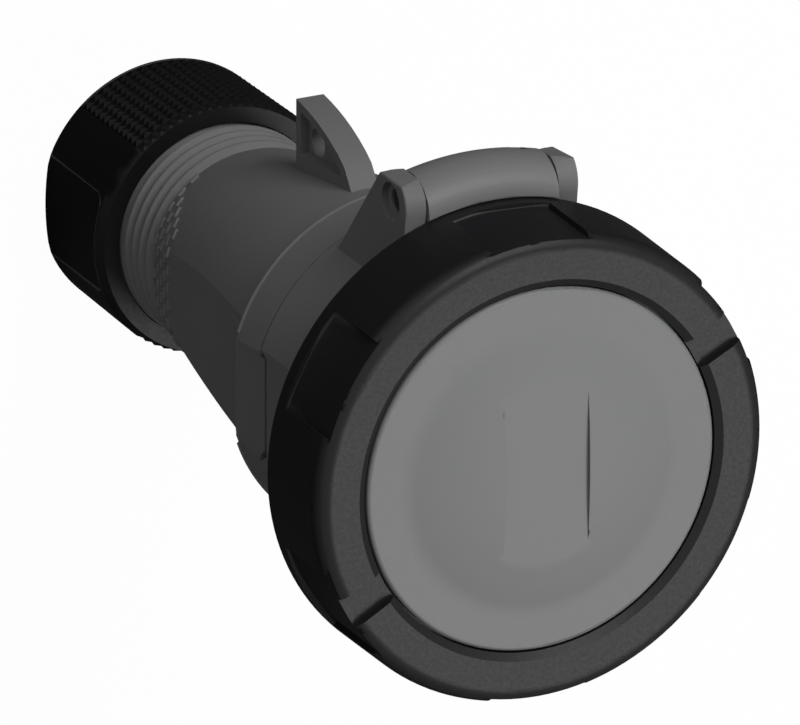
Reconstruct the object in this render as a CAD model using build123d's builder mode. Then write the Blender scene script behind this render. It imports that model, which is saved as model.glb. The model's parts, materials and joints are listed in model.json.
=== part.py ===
# Five-pole industrial cable coupler with a hinged, bayonet-locked lid.
# It stands on the rear face of its gland nut, with the lid at the top and the hinge towards +Y.
# The origin is the centre of the cable entry on that rear face. All sizes are in millimetres.
from build123d import *
import os
from math import asin, cos, degrees, radians, sin, sqrt

os.makedirs("parts", exist_ok=True)

# Clearances
seat_gap = 0.2  # between faces that seat on each other
slide_gap = 0.3  # between pieces that slide in or turn on each other
pin_gap = 0.04  # hinge pin in the housing lugs
barrel_gap = 0.08  # hinge pin in the lid's barrel
edge_break = 0.4  # small chamfer on moulded edges

# Gland nut, thrust washer, clamping cage and cable seal
cable_entry_radius = 14.0
nut_length = 28.6
nut_wall = 3.6
nut_taper = 0.4  # less at the rear, in radius
nut_rear_wall = 6.0
flat_bulge_radius = 57.0  # curve of the two spanner faces
flat_depth = 1.55
flat_half_width = 10.2
flat_front_margin = 2.9
flat_corner_radius = 3.0
washer_thickness = 2.0
cage_length = 11.6
cage_wall = 4.0
cage_base = 3.2
cage_slots = 10
cage_slot_width = 1.2
seal_length = 13.6
seal_wall = 6.0
seal_bevel = 2.5

# Rear housing
housing_rear_gap = 0.8  # from the washer to the end of the thread
mouth_wall = 2.7  # from the seal's bore to the thread's root
thread_gap = 1.5  # from the thread's root to the nut's bore
thread_shown = 12.4  # length in front of the nut
neck_step, neck_length = 1.4, 2.9
waist_step, waist_length = 4.9, 25.0
cone_length = 37.3  # from the waist to the shoulder
cone_wall = 3.2
stop_thickness = 2.5
stop_margin = 0.6  # round the cable entry
band_length = 11.4
band_step = 3.0  # over the cone's front end
band_taper = 0.3
band_wall = 3.0
side_flat_depth = 1.5  # of the flats on the band and on the front housing
panel_rear_depth, panel_rear_margin = 0.8, 0.9  # of the tilted flat on each side of the cone
panel_front_depth = 2.1
panel_sweep_length = 17.2  # where the panel sweeps up to the band's flat
panel_web_half_width = 10.4

# Hanging eye on the rear housing, measured from the waist's surface and the fin's rear edge
fin_thickness = 6.0
fin_setback = 0.4
fin_height, fin_length = 14.8, 25.4
fin_bend_height, fin_bend_length = 9.7, 14.1
fin_foot_height = 3.4
fin_root_depth = 3.6
fin_rim = 1.8
fin_web = 2.0
eye_radius = 3.0
eye_height, eye_length = 7.1, 5.9

# Front housing
shroud_gap = 5.0  # from the contact carrier to the collar, for a plug's shroud
collar_wall = 2.6
collar_length = 45.4  # from the parting line to the rim
collar_step = 0.6  # front housing over the collar, in radius
collar_step_depth = 11.0  # below the rim
flat_end_margin = 1.0
parting_step = 0.3  # front housing over the band, in radius
parting_chamfer = 0.35
spigot_wall = 2.6
spigot_length = 9.4
ledge_thickness = 3.0
floor_rise = 3.0  # from the parting line to the floor of the shroud gap
keyway_width = 9.0
keyway_depth = 1.5
lug_count = 3
collar_lug_angle = 15.0
collar_lug_half_angle = 10.0
collar_lug_height = 4.3
collar_lug_length = 4.0
collar_lug_depth = 3.0  # below the rim
body_seal_section = 0.85
body_seal_groove_width = 2.1

# Hinge
pin_radius = 2.56
pin_end_depth = 1.8
hinge_lug_inner = 14.4
hinge_lug_thickness = 4.4
hinge_lug_radius = 6.9
hinge_lug_front_margin = 3.6
hinge_crown = 8.0  # over the pin's centre
hinge_foot_rise = 2.6  # over the parting line
hinge_foot_depth = 5.6  # inside the front housing
hinge_foot_width = 1.0
counterbore_step = 1.44
counterbore_depth = 1.5
barrel_radius = 7.8
spring_pocket_step = 2.74
spring_wire = 1.0
spring_turns = 5
spring_pitch = 1.6
spring_slot_width = 3.0
spring_slot_inset = 4.7
spring_slot_depth = 3.0
spring_slot_length = 3.4

# Lid
disc_margin = 1.7  # over the collar, in radius
disc_thickness = 3.0
disc_border = 6.7  # flat border round the dome
disc_rounding = 0.9  # of the disc's edge
dome_radius = 145.0
field_half_width = 9.2
field_height = 2.2
lid_flange_thickness = 3.8
channel_depth = 2.4
channel_margin = 2.0  # over the collar, in radius
lid_rib_thickness = 2.0
gasket_overhang = 1.9  # inside the collar's bore
gasket_thickness = 4.1
arm_side_gap = 1.4  # to the hinge lugs
arm_thickness = 3.4
arm_rear_drop = 6.0

# Bayonet ring and its retainer
ring_length = 22.2
ring_room = 10.0  # from the collar to the ring's bore
ring_wall = 3.0
ring_taper = 0.2  # less at the front, in radius
ring_proud = 0.5  # of the lid's disc
ring_lip_gap = 1.0  # round the lid's disc
ring_lip_chamfer = 0.95
ring_rounding = 3.4  # from the ring's face to its side
ring_front_wall = 3.4
ring_groove_angle = 30.0
ring_groove_width = 5.0
ring_groove_depth = 1.7
pocket_count = 6
pocket_half_angle = 12.7
pocket_depth = 1.2
pocket_rear_margin = 3.5
ring_lug_angle = 45.0
ring_lug_half_angle = 11.0
ring_lug_gap = 2.4  # over the collar
ring_lug_length = 4.5
ring_lug_rear_margin = 0.8
retainer_reach = 3.9  # inside the ring's bore
retainer_thickness = 1.9
retainer_seat_depth = 0.6
retainer_split = 5.0

# Contacts, and the carrier and base that hold them
contact_circle_radius = 18.0
live_pin_radius = 3.0
earth_pin_radius = 4.0
socket_gap = 0.05
sleeve_wall = 1.35
sleeve_slot_width = 0.8
sleeve_slot_length = 24.0
terminal_step = 0.8  # terminal end over the sleeve, in radius
terminal_length = 18.0
wire_hole_radius = 2.5
wire_hole_depth = 13.0
spring_ring_wall = 0.7
spring_ring_length = 4.0
spring_ring_setback = 5.0
terminal_screw_radius = 1.85
terminal_screw_rise = 9.0  # over the base's rear face
terminal_head_radius = 2.4
terminal_head_height = 2.0
screw_slot_width = 0.8
carrier_margin = 10.4  # round the contact circle
carrier_face_depth = 4.0  # below the collar's rim
carrier_front_wall = 3.6
carrier_flange_thickness = 3.0
entry_gap = 0.6
base_step = 1.4  # inside the carrier's rim, in radius
base_length = 19.5
clamp_thickness = 3.3
clamp_hole_radius = 3.6
carrier_screw_radius = 1.95
carrier_screw_reach = 8.0  # into the carrier
carrier_screw_head_radius = 3.6
carrier_screw_head_height = 2.4

# Radii of the gland, worked outwards from the cable entry
cage_radius = cable_entry_radius + 2 * seat_gap + cage_wall
mouth_radius = cage_radius + seat_gap
stop_radius = cable_entry_radius + stop_margin
thread_root_radius = mouth_radius + mouth_wall
nut_bore_radius = thread_root_radius + thread_gap
washer_radius = nut_bore_radius - seat_gap - slide_gap
nut_front_radius = nut_bore_radius + nut_wall
nut_rear_radius = nut_front_radius - nut_taper
neck_radius = thread_root_radius + neck_step
waist_radius = neck_radius + waist_step

# Radii of the front end, worked outwards from the contacts
carrier_radius = contact_circle_radius + carrier_margin
base_radius = carrier_radius - base_step
collar_bore_radius = carrier_radius + shroud_gap
collar_radius = collar_bore_radius + collar_wall
front_radius = collar_radius + collar_step
band_front_radius = front_radius - parting_step
band_rear_radius = band_front_radius - band_taper
shoulder_radius = band_rear_radius - band_step
spigot_bore_radius = band_rear_radius - band_wall
spigot_radius = spigot_bore_radius - slide_gap
spigot_inner_radius = spigot_radius - spigot_wall
carrier_flange_radius = spigot_inner_radius - seat_gap
body_seal_groove_radius = spigot_bore_radius - 2 * body_seal_section - seat_gap / 2
side_flat_offset = band_rear_radius - side_flat_depth
panel_rear_offset = neck_radius - panel_rear_depth
panel_front_offset = shoulder_radius - panel_front_depth
gasket_inner_radius = collar_bore_radius - gasket_overhang
channel_radius = collar_radius + channel_margin
disc_radius = collar_radius + disc_margin
disc_flat_radius = disc_radius - disc_border
ring_lip_radius = disc_radius + ring_lip_gap
ring_lug_inner_radius = collar_radius + ring_lug_gap
ring_bore_radius = collar_radius + ring_room
ring_radius = ring_bore_radius + ring_wall
ring_front_radius = ring_radius - ring_taper
ring_face_radius = ring_front_radius - ring_rounding
lid_flange_radius = ring_bore_radius - slide_gap
retainer_inner_radius = ring_bore_radius - retainer_reach
arm_outer_radius = retainer_inner_radius - slide_gap
arm_inner_radius = arm_outer_radius - arm_thickness
pin_height = ring_radius + slide_gap
hinge_crown_radius = pin_height + hinge_crown

# Levels along the axis, built up from the gland nut's rear face
washer_level = nut_rear_wall + seat_gap
cage_level = washer_level + washer_thickness + seat_gap
seal_level = cage_level + cage_length + seat_gap
stop_level = seal_level + seal_length + seat_gap
housing_end_level = washer_level + washer_thickness + housing_rear_gap
thread_end_level = nut_length + thread_shown
neck_level = thread_end_level + neck_length
waist_level = neck_level + waist_length
shoulder_level = waist_level + cone_length
parting_level = shoulder_level + band_length
panel_rear_level = neck_level - panel_rear_margin
panel_web_level = shoulder_level - panel_sweep_length
fin_rear_level = waist_level - fin_setback
spigot_end_level = parting_level - spigot_length
rim_level = parting_level + collar_length
collar_step_level = rim_level - collar_step_depth
floor_level = parting_level + floor_rise
body_seal_level = spigot_end_level + spigot_length / 2
gasket_level = rim_level + seat_gap
channel_top_level = gasket_level + gasket_thickness + seat_gap / 2
flange_rear_level = channel_top_level - channel_depth
flange_front_level = flange_rear_level + lid_flange_thickness
ring_wall_level = flange_front_level + seat_gap
disc_level = ring_wall_level + ring_front_wall - ring_proud
ring_front_level = disc_level + ring_proud
ring_rear_level = ring_front_level - ring_length
retainer_level = flange_rear_level - seat_gap - retainer_thickness
pin_level = ring_rear_level - hinge_lug_radius
ledge_level = parting_level - ledge_thickness
carrier_rear_level = ledge_level - seat_gap / 2 - carrier_flange_thickness
carrier_face_level = rim_level - carrier_face_depth
chamber_front_level = carrier_face_level - carrier_front_wall
base_front_level = carrier_rear_level - seat_gap / 2
base_rear_level = base_front_level - base_length
terminal_level = base_rear_level + seat_gap
terminal_front_level = terminal_level + terminal_length
sleeve_front_level = chamber_front_level - slide_gap
screw_level = base_rear_level + terminal_screw_rise
clamp_level = base_rear_level - clamp_thickness - seat_gap / 2
head_level = clamp_level - seat_gap / 2

# Points of the fin's outline, as height and level
fin_peak = (waist_radius + fin_height, fin_rear_level)
fin_bend = (waist_radius + fin_bend_height, fin_rear_level + fin_bend_length)
fin_foot = (waist_radius + fin_foot_height, fin_rear_level + fin_length)
eye_centre = (waist_radius + eye_height, fin_rear_level + eye_length)
pin_centre = (pin_height, pin_level)

# The contacts, earth first at the keyway, then the others evenly round the circle
contact_pins = {
    "earth_contact": earth_pin_radius,
    "phase_contact_1": live_pin_radius,
    "phase_contact_2": live_pin_radius,
    "phase_contact_3": live_pin_radius,
    "neutral_contact": live_pin_radius,
}
contact_step = 360 / len(contact_pins)
earth_angle = -90.0


def band(inner, outer, low, high, mode=Mode.ADD):
    """A rectangle of the half section: from one radius to another, between two levels."""
    with Locations(((inner + outer) / 2, (low + high) / 2)):
        Rectangle(outer - inner, high - low, mode=mode)


def sector(inner, outer, half_angle):
    """A ring sector centred on the X axis, ready to be added round a circle."""
    with BuildSketch() as shape:
        with BuildLine():
            arc_out = CenterArc((0, 0), outer, -half_angle, 2 * half_angle)
            arc_in = CenterArc((0, 0), inner, -half_angle, 2 * half_angle)
            Line(arc_out @ 0, arc_in @ 0)
            Line(arc_out @ 1, arc_in @ 1)
        make_face()
    return shape.sketch


def finish(piece, label):
    """Name a finished piece and write its file."""
    piece.part.label = label
    export_step(piece.part, f"parts/{label}.step")


def contact_plane(angle):
    """A plane at a contact's centre, its X direction pointing away from the axis."""
    x, y = cos(radians(angle)), sin(radians(angle))
    centre = (contact_circle_radius * x, contact_circle_radius * y, 0)
    return Plane(origin=centre, x_dir=(x, y, 0), z_dir=(0, 0, 1))


def screw_plane(angle):
    """A plane at a contact's centre and the screws' level, facing away from the axis."""
    plane = contact_plane(angle)
    centre = plane.origin + Vector(0, 0, screw_level)
    return Plane(origin=centre, x_dir=(0, 0, 1), z_dir=plane.x_dir)


contact_angles = [earth_angle + contact_step * i for i in range(len(contact_pins))]
contact_places = list(zip(contact_pins, contact_pins.values(), contact_angles))

# Spanner face: what is cut from each side of the gland nut
with BuildPart() as spanner_cut:
    with BuildSketch(Plane.YZ.offset(nut_bore_radius)):
        flat_height = nut_length - flat_front_margin
        Rectangle(2 * flat_half_width, 2 * flat_height)
        corners = vertices().group_by(Axis.Y)[-1]
        fillet(corners, flat_corner_radius)
    extrude(amount=2 * nut_wall)
    with BuildSketch(Plane.XY):
        with Locations((nut_front_radius - flat_depth - flat_bulge_radius, 0)):
            Circle(flat_bulge_radius)
    extrude(amount=2 * nut_length, both=True, mode=Mode.SUBTRACT)

# Gland nut
with BuildPart() as gland_nut:
    with BuildSketch(Plane.XZ):
        with BuildLine():
            Polyline(
                (cable_entry_radius, 0),
                (nut_rear_radius - edge_break, 0),
                (nut_rear_radius, edge_break),
                (nut_front_radius, nut_length - edge_break),
                (nut_front_radius - edge_break, nut_length),
                (nut_bore_radius, nut_length),
                (nut_bore_radius, nut_rear_wall),
                (cable_entry_radius, nut_rear_wall),
                close=True,
            )
        make_face()
    revolve(axis=Axis.Z)
    with PolarLocations(0, 2):
        add(spanner_cut.part, mode=Mode.SUBTRACT)
finish(gland_nut, "gland_nut")

# Thrust washer between the nut and the clamping cage
with BuildPart() as thrust_washer:
    with BuildSketch(Plane.XY.offset(washer_level)):
        Circle(washer_radius)
        Circle(cable_entry_radius + seat_gap, mode=Mode.SUBTRACT)
    extrude(amount=washer_thickness)
finish(thrust_washer, "thrust_washer")

# Clamping cage: fingers that close round the cable as the nut is tightened
with BuildPart() as clamp_cage:
    with BuildSketch(Plane.XY.offset(cage_level)):
        Circle(cage_radius)
        Circle(cage_radius - cage_wall, mode=Mode.SUBTRACT)
    extrude(amount=cage_length)
    with BuildSketch(Plane.XY.offset(cage_level + cage_base)):
        with PolarLocations(cage_radius - cage_wall / 2, cage_slots):
            Rectangle(2 * cage_wall, cage_slot_width)
    extrude(amount=cage_length, mode=Mode.SUBTRACT)
finish(clamp_cage, "clamp_cage")

# Cable seal
with BuildPart() as cable_seal:
    with BuildSketch(Plane.XZ):
        band(cage_radius - seal_wall, cage_radius, seal_level, seal_level + seal_length)
        inner_corners = vertices().group_by(Axis.X)[0]
        chamfer(inner_corners, seal_bevel)
    revolve(axis=Axis.Z)
finish(cable_seal, "cable_seal")


# Side panel cut: everything outside the flat on one side of both housings
with BuildPart() as panel_cut:
    with BuildSketch(Plane.XZ):
        beyond = 2 * band_front_radius
        with BuildLine():
            Polyline(
                (panel_rear_offset, panel_rear_level),
                (panel_front_offset, shoulder_level - seat_gap),
                (beyond, shoulder_level - seat_gap),
                (beyond, panel_rear_level),
                close=True,
            )
        make_face()
    extrude(amount=band_front_radius, both=True)

with BuildPart() as side_cut:
    with BuildSketch(Plane.XY.offset(shoulder_level - seat_gap)):
        with Locations((side_flat_offset, 0)):
            Rectangle(band_front_radius, 2 * band_front_radius, align=(Align.MIN, Align.CENTER))
    extrude(amount=collar_step_level - flat_end_margin - shoulder_level)

# Web that sweeps each side panel up to the band's flat
with BuildPart() as panel_web:
    with BuildSketch(Plane.XZ):
        panel_rise = (panel_front_offset - panel_rear_offset) / (shoulder_level - panel_rear_level)
        web_offset = panel_rear_offset + panel_rise * (panel_web_level - panel_rear_level)
        with BuildLine():
            sweep_up = TangentArc(
                (web_offset, panel_web_level),
                (side_flat_offset, shoulder_level + seat_gap),
                tangent=(panel_rise, 1),
            )
            web_foot = web_offset - cone_wall / 2
            Polyline(
                sweep_up @ 1,
                (web_foot, shoulder_level + seat_gap),
                (web_foot, panel_web_level),
                sweep_up @ 0,
            )
        make_face()
    extrude(amount=panel_web_half_width, both=True)

# Rear housing
with BuildPart() as rear_housing:
    with BuildSketch(Plane.XZ):
        with BuildLine():
            Polyline(
                (0, housing_end_level),
                (thread_root_radius, housing_end_level),
                (thread_root_radius, thread_end_level),
                (neck_radius, neck_level),
            )
            ThreePointArc(
                (neck_radius, neck_level),
                (waist_radius, waist_level),
                (shoulder_radius, shoulder_level),
            )
            Polyline(
                (shoulder_radius, shoulder_level),
                (band_rear_radius - edge_break, shoulder_level),
                (band_rear_radius, shoulder_level + edge_break),
                (band_front_radius, parting_level - parting_chamfer),
                (band_front_radius - parting_chamfer, parting_level),
                (0, parting_level),
                (0, housing_end_level),
            )
        make_face()
    revolve(axis=Axis.Z)
    with PolarLocations(0, 2):
        add(panel_cut.part, mode=Mode.SUBTRACT)
    with PolarLocations(0, 2):
        add(side_cut.part, mode=Mode.SUBTRACT)
    with PolarLocations(0, 2):
        add(panel_web.part)
    # hanging eye
    with BuildSketch(Plane.YZ):
        with BuildLine():
            ThreePointArc(fin_peak, fin_bend, fin_foot)
            fin_root_height = waist_radius - fin_root_depth
            Polyline(
                fin_foot,
                (fin_root_height + cone_wall, fin_foot[1]),
                (fin_root_height, fin_rear_level),
                fin_peak,
            )
        make_face()
    extrude(amount=fin_thickness / 2, both=True)
    for side in (1, -1):
        with BuildSketch(Plane.YZ.offset(side * fin_thickness / 2)):
            with BuildLine():
                ThreePointArc(fin_peak, fin_bend, fin_foot)
                Polyline(fin_foot, (waist_radius + fin_rim, fin_rear_level), fin_peak)
            make_face()
            offset(amount=-fin_rim)
        extrude(amount=-side * (fin_thickness - fin_web) / 2, mode=Mode.SUBTRACT)
    with BuildSketch(Plane.YZ):
        with Locations(eye_centre):
            Circle(eye_radius)
    extrude(amount=fin_thickness, both=True, mode=Mode.SUBTRACT)
    # cavity, with the mouth for the seal and the bore for the front housing's spigot
    with BuildSketch(Plane.XZ):
        bore_end_level = spigot_end_level - seat_gap
        with BuildLine():
            Polyline(
                (0, bore_end_level),
                (shoulder_radius - cone_wall, bore_end_level),
                (shoulder_radius - cone_wall, shoulder_level),
            )
            ThreePointArc(
                (shoulder_radius - cone_wall, shoulder_level),
                (waist_radius - cone_wall, waist_level),
                (neck_radius - cone_wall, neck_level),
            )
            Polyline(
                (neck_radius - cone_wall, neck_level),
                (thread_root_radius - cone_wall, stop_level + stop_thickness),
                (0, stop_level + stop_thickness),
                (0, bore_end_level),
            )
        make_face()
        band(0, spigot_bore_radius, bore_end_level, parting_level)
        band(0, stop_radius, stop_level, stop_level + stop_thickness)
        band(0, mouth_radius, housing_end_level, stop_level)
    revolve(axis=Axis.Z, mode=Mode.SUBTRACT)
finish(rear_housing, "rear_housing")

collar_lug = sector(collar_radius - collar_wall / 2, collar_radius + collar_lug_height, collar_lug_half_angle)

# Front housing: hinge lugs first, cut to the crown that the lid's barrel follows
with BuildPart() as front_housing:
    for side in (1, -1):
        with BuildSketch(Plane.YZ.offset(side * hinge_lug_inner)):
            with Locations(pin_centre):
                Circle(hinge_lug_radius)
            foot_height = front_radius - hinge_foot_depth
            foot_low = parting_level + hinge_foot_rise
            foot_high = pin_level + hinge_lug_front_margin
            band(foot_height, foot_height + hinge_foot_width, foot_low, foot_high)
            make_hull()
        extrude(amount=side * hinge_lug_thickness)
    Cylinder(hinge_crown_radius, 2 * rim_level, mode=Mode.INTERSECT)
    with BuildSketch(Plane.XZ):
        with BuildLine():
            Polyline(
                (carrier_radius + slide_gap, ledge_level),
                (spigot_inner_radius, ledge_level),
                (spigot_inner_radius, spigot_end_level),
                (spigot_radius, spigot_end_level),
                (spigot_radius, parting_level),
                (front_radius - parting_chamfer, parting_level),
                (front_radius, parting_level + parting_chamfer),
                (front_radius, collar_step_level),
                (collar_radius, collar_step_level + edge_break),
                (collar_radius, rim_level - edge_break),
                (collar_radius - edge_break, rim_level),
                (collar_bore_radius, rim_level),
                (collar_bore_radius, floor_level),
                (carrier_radius + slide_gap, floor_level),
                close=True,
            )
        make_face()
        groove_low = body_seal_level - body_seal_groove_width / 2
        groove_high = body_seal_level + body_seal_groove_width / 2
        band(body_seal_groove_radius, spigot_bore_radius, groove_low, groove_high, Mode.SUBTRACT)
    revolve(axis=Axis.Z)
    with PolarLocations(0, 2):
        add(side_cut.part, mode=Mode.SUBTRACT)
    # bayonet lugs that the lid's ring, or a plug's ring, draws up on
    with BuildSketch(Plane.XY.offset(rim_level - collar_lug_depth - collar_lug_length)):
        with PolarLocations(0, lug_count, start_angle=collar_lug_angle):
            add(collar_lug)
    extrude(amount=collar_lug_length)
    # keyway opposite the hinge
    with BuildSketch(Plane.XY.offset(floor_level)):
        with Locations((0, -collar_bore_radius)):
            Rectangle(keyway_width, 2 * keyway_depth)
    extrude(amount=collar_length, mode=Mode.SUBTRACT)
    with BuildSketch(Plane.XY.offset(floor_level)):
        Circle(collar_bore_radius)
        Circle(carrier_radius + slide_gap, mode=Mode.SUBTRACT)
    extrude(amount=collar_length, mode=Mode.SUBTRACT)
    # pin holes, counterbored on the outer faces
    hinge_lug_outer = hinge_lug_inner + hinge_lug_thickness
    with BuildSketch(Plane.YZ):
        with Locations(pin_centre):
            Circle(pin_radius + pin_gap)
    extrude(amount=hinge_lug_outer, both=True, mode=Mode.SUBTRACT)
    for side in (1, -1):
        with BuildSketch(Plane.YZ.offset(side * (hinge_lug_outer - counterbore_depth))):
            with Locations(pin_centre):
                Circle(pin_radius + counterbore_step)
        extrude(amount=side * hinge_lug_outer, mode=Mode.SUBTRACT)
finish(front_housing, "front_housing")

# Seal between the two housings
with BuildPart() as body_seal:
    with BuildSketch(Plane.XZ):
        with Locations((body_seal_groove_radius + body_seal_section + seat_gap / 4, body_seal_level)):
            Circle(body_seal_section)
    revolve(axis=Axis.Z)
finish(body_seal, "body_seal")

# Hinge pin
with BuildPart() as hinge_pin:
    with BuildSketch(Plane.YZ):
        with Locations(pin_centre):
            Circle(pin_radius)
    extrude(amount=hinge_lug_outer - pin_end_depth, both=True)
    chamfer(edges().filter_by(GeomType.CIRCLE), edge_break)
finish(hinge_pin, "hinge_pin")

# Contact carrier: the insert's front part, with a chamber for each sleeve
with BuildPart() as contact_carrier:
    with BuildSketch(Plane.XZ):
        flange_front_face = carrier_rear_level + carrier_flange_thickness
        band(0, carrier_flange_radius, carrier_rear_level, flange_front_face)
        band(0, carrier_radius, carrier_rear_level, carrier_face_level)
        chamfer(vertices().sort_by(Axis.Y)[-1], edge_break)
    revolve(axis=Axis.Z)
    for name, contact_pin, angle in contact_places:
        sleeve_radius = contact_pin + socket_gap + sleeve_wall
        with BuildSketch(contact_plane(angle).offset(carrier_rear_level)):
            Circle(sleeve_radius + terminal_step + seat_gap)
        extrude(amount=chamber_front_level - carrier_rear_level, mode=Mode.SUBTRACT)
        with BuildSketch(contact_plane(angle).offset(carrier_rear_level)):
            Circle(contact_pin + entry_gap)
        extrude(amount=carrier_face_level - carrier_rear_level, mode=Mode.SUBTRACT)
    with BuildSketch(Plane.XY.offset(carrier_rear_level)):
        Circle(carrier_screw_radius + pin_gap)
    extrude(amount=carrier_screw_reach + seat_gap, mode=Mode.SUBTRACT)
finish(contact_carrier, "contact_carrier")

# Carrier base: the insert's rear part, round the terminals
with BuildPart() as carrier_base:
    with BuildSketch(Plane.XY.offset(base_rear_level)):
        Circle(base_radius)
        Circle(carrier_screw_radius + seat_gap, mode=Mode.SUBTRACT)
    extrude(amount=base_length)
    for name, contact_pin, angle in contact_places:
        sleeve_radius = contact_pin + socket_gap + sleeve_wall
        with BuildSketch(contact_plane(angle).offset(base_rear_level)):
            Circle(sleeve_radius + terminal_step + seat_gap)
        extrude(amount=base_length, mode=Mode.SUBTRACT)
        with BuildSketch(screw_plane(angle)):
            Circle(terminal_head_radius + slide_gap)
        extrude(amount=base_radius, mode=Mode.SUBTRACT)
finish(carrier_base, "carrier_base")

# Contacts: a slotted sleeve for the plug's pin, and a terminal end for the wire
for name, contact_pin, angle in contact_places:
    plane = contact_plane(angle)
    socket_radius = contact_pin + socket_gap
    sleeve_radius = socket_radius + sleeve_wall
    with BuildPart() as contact:
        with BuildSketch(plane.offset(terminal_level)):
            Circle(sleeve_radius + terminal_step)
        extrude(amount=terminal_length)
        with BuildSketch(plane.offset(terminal_front_level)):
            Circle(sleeve_radius)
        extrude(amount=sleeve_front_level - terminal_front_level)
        with BuildSketch(plane.offset(terminal_front_level)):
            Circle(socket_radius)
        extrude(amount=sleeve_front_level - terminal_front_level, mode=Mode.SUBTRACT)
        with BuildSketch(plane.offset(sleeve_front_level - sleeve_slot_length)):
            Rectangle(4 * sleeve_radius, sleeve_slot_width)
        extrude(amount=sleeve_slot_length, mode=Mode.SUBTRACT)
        with BuildSketch(plane.offset(terminal_level)):
            Circle(wire_hole_radius)
        extrude(amount=wire_hole_depth, mode=Mode.SUBTRACT)
        with BuildSketch(screw_plane(angle)):
            Circle(terminal_screw_radius + pin_gap)
        extrude(amount=2 * sleeve_radius, mode=Mode.SUBTRACT)
    finish(contact, name)

# Terminal screws, one in each contact
with BuildPart() as terminal_screws:
    for name, contact_pin, angle in contact_places:
        tip = wire_hole_radius - edge_break
        seat = contact_pin + socket_gap + sleeve_wall + terminal_step + seat_gap
        with BuildSketch(screw_plane(angle).offset(tip)):
            Circle(terminal_screw_radius)
        extrude(amount=seat - tip)
        with BuildSketch(screw_plane(angle).offset(seat)):
            Circle(terminal_head_radius)
            Rectangle(screw_slot_width, 3 * terminal_head_radius, mode=Mode.SUBTRACT)
        extrude(amount=terminal_head_height)
        with BuildSketch(screw_plane(angle).offset(seat)):
            Circle(terminal_head_radius)
        extrude(amount=terminal_head_height - screw_slot_width)
finish(terminal_screws, "terminal_screws")

# Spring rings that close the slotted sleeves on the pins
with BuildPart() as contact_springs:
    for name, contact_pin, angle in contact_places:
        sleeve_radius = contact_pin + socket_gap + sleeve_wall
        ring_level = sleeve_front_level - spring_ring_setback - spring_ring_length
        with BuildSketch(contact_plane(angle).offset(ring_level)):
            Circle(sleeve_radius + pin_gap + spring_ring_wall)
            Circle(sleeve_radius + pin_gap, mode=Mode.SUBTRACT)
            with Locations((sleeve_radius, 0)):
                Rectangle(2 * sleeve_wall, sleeve_wall, mode=Mode.SUBTRACT)
        extrude(amount=spring_ring_length)
finish(contact_springs, "contact_springs")

# Clamp plate behind the base, with a hole for each wire
with BuildPart() as carrier_clamp:
    with BuildSketch(Plane.XY.offset(clamp_level)):
        Circle(base_radius)
        with PolarLocations(contact_circle_radius, len(contact_pins), start_angle=earth_angle):
            Circle(clamp_hole_radius, mode=Mode.SUBTRACT)
        Circle(carrier_screw_radius + seat_gap, mode=Mode.SUBTRACT)
    extrude(amount=clamp_thickness)
finish(carrier_clamp, "carrier_clamp")

# Screw that holds the clamp plate and the base to the carrier
with BuildPart() as carrier_screw:
    with BuildSketch(Plane.XY.offset(head_level)):
        Circle(carrier_screw_radius)
    extrude(amount=carrier_rear_level + carrier_screw_reach - head_level)
    with BuildSketch(Plane.XY.offset(head_level)):
        Circle(carrier_screw_head_radius)
    extrude(amount=-carrier_screw_head_height)
    with BuildSketch(Plane.XY.offset(head_level - carrier_screw_head_height)):
        Rectangle(screw_slot_width, 3 * carrier_screw_head_radius)
        Rectangle(3 * carrier_screw_head_radius, screw_slot_width)
    extrude(amount=screw_slot_width, mode=Mode.SUBTRACT)
finish(carrier_screw, "carrier_screw")

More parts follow.
